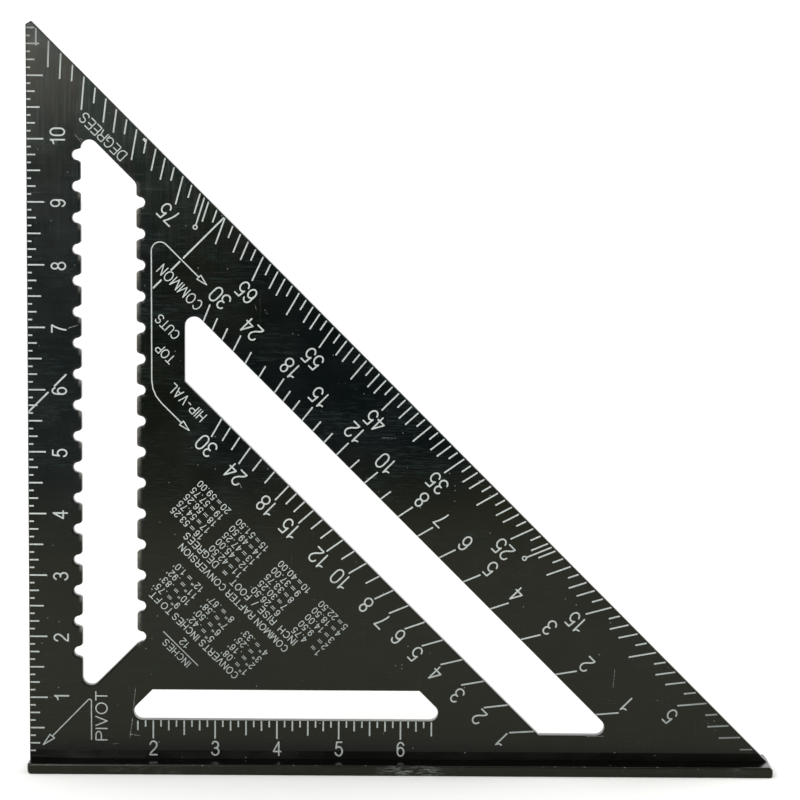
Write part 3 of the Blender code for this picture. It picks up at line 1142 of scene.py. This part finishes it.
def build_floor():
    """A pale sheet under the square that runs back from just in front of it."""
    bm = bmesh.new()
    rows = []
    for i in range(FLOOR_PARTS + 1):
        y = FLOOR_FRONT + (FLOOR_BACK - FLOOR_FRONT) * i / FLOOR_PARTS
        rows.append([bm.verts.new((x, y, 0.0)) for x in (-FLOOR_SIDE, 0.0, FLOOR_SIDE)])
    for a, b in zip(rows, rows[1:]):
        for k in range(2):
            bm.faces.new((a[k], a[k + 1], b[k + 1], b[k]))
    mesh = bpy.data.meshes.new("floor")
    bm.to_mesh(mesh)
    bm.free()
    floor = bpy.data.objects.new("floor", mesh)
    bpy.context.scene.collection.objects.link(floor)
    paint = Paint("paper")
    tone = paint.patches(3.0, 3.0)
    colour = paint.blend(tone, *FLOOR_SHADES)
    mesh.materials.append(paint.finish(colour, FLOOR_ROUGHNESS, 0.0, 0.0))


BEHIND_LIGHT = 1.6
FRONT_LIGHT = 0.06
HEIGHT_SHARE = 1.1
DIM_BELOW, BRIGHT_ABOVE = -0.8, 0.5


def build_world():
    """Even white light that the camera sees as white, dimmer on the blade's front."""
    sky = bpy.data.worlds.new("studio")
    bpy.context.scene.world = sky
    sky.use_nodes = True
    nodes, links = sky.node_tree.nodes, sky.node_tree.links
    nodes.clear()
    place = nodes.new("ShaderNodeTexCoord")
    split = nodes.new("ShaderNodeSeparateXYZ")
    links.new(place.outputs["Generated"], split.inputs[0])
    rising = nodes.new("ShaderNodeMath")
    rising.operation = "MULTIPLY_ADD"
    links.new(split.outputs["Z"], rising.inputs[0])
    rising.inputs[1].default_value = HEIGHT_SHARE
    links.new(split.outputs["Y"], rising.inputs[2])
    level = nodes.new("ShaderNodeMapRange")
    level.interpolation_type = "SMOOTHSTEP"
    links.new(rising.outputs[0], level.inputs["Value"])
    level.inputs["From Min"].default_value = DIM_BELOW
    level.inputs["From Max"].default_value = BRIGHT_ABOVE
    level.inputs["To Min"].default_value = FRONT_LIGHT
    level.inputs["To Max"].default_value = BEHIND_LIGHT
    path = nodes.new("ShaderNodeLightPath")
    seen = nodes.new("ShaderNodeMix")
    links.new(path.outputs["Is Camera Ray"], seen.inputs["Factor"])
    links.new(level.outputs["Result"], seen.inputs["A"])
    seen.inputs["B"].default_value = BEHIND_LIGHT
    glow = nodes.new("ShaderNodeBackground")
    links.new(seen.outputs["Result"], glow.inputs["Strength"])
    end = nodes.new("ShaderNodeOutputWorld")
    links.new(glow.outputs[0], end.inputs["Surface"])


# each softbox: name, place, aim, width, height, watts and colour
SOFTBOXES = (
    ("key", (-1.3, -1.3, 1.6), (-0.08, 0.0, 0.2), 0.9, 0.9, 12.0, (1.0, 1.0, 1.0)),
    ("tip_glow", (-0.68, -2.2, 0.56), (-0.68, 0.0, 0.56), 0.64, 0.5, 12.5, (0.97, 1.0, 0.95)),
)


def softbox(name, place, aim, wide, tall, power, colour):
    light = bpy.data.lights.new(name, "AREA")
    light.shape = "RECTANGLE"
    light.size = wide
    light.size_y = tall
    light.energy = power
    light.color = colour
    lamp = bpy.data.objects.new(name, light)
    lamp.location = place
    lamp.rotation_euler = (Vector(aim) - Vector(place)).to_track_quat("-Z", "Y").to_euler()
    bpy.context.scene.collection.objects.link(lamp)


CAMERA_PLACE = (-0.0055, -1.2464, 0.2908)
CAMERA_YAW = -0.00354
CAMERA_PITCH = -0.1099
CAMERA_ROLL = -0.00671
CAMERA_LENS = 138.59
SENSOR = 36.0
CLIP_START = 0.05
LOOK_ALONG_Y = Matrix.Rotation(math.radians(90.0), 4, "X")


def build_camera():
    camera = bpy.data.cameras.new("camera")
    camera.sensor_width = SENSOR
    camera.lens = CAMERA_LENS
    camera.clip_start = CLIP_START
    view = bpy.data.objects.new("camera", camera)
    aim = Matrix.Rotation(CAMERA_YAW, 4, "Z") @ Matrix.Rotation(CAMERA_PITCH, 4, "X")
    aim = aim @ Matrix.Rotation(CAMERA_ROLL, 4, "Y") @ LOOK_ALONG_Y
    view.matrix_world = Matrix.Translation(CAMERA_PLACE) @ aim
    bpy.context.scene.collection.objects.link(view)
    bpy.context.scene.camera = view


build_floor()
build_world()
for box in SOFTBOXES:
    softbox(*box)
build_camera()
bpy.context.scene.view_settings.view_transform = "Standard"
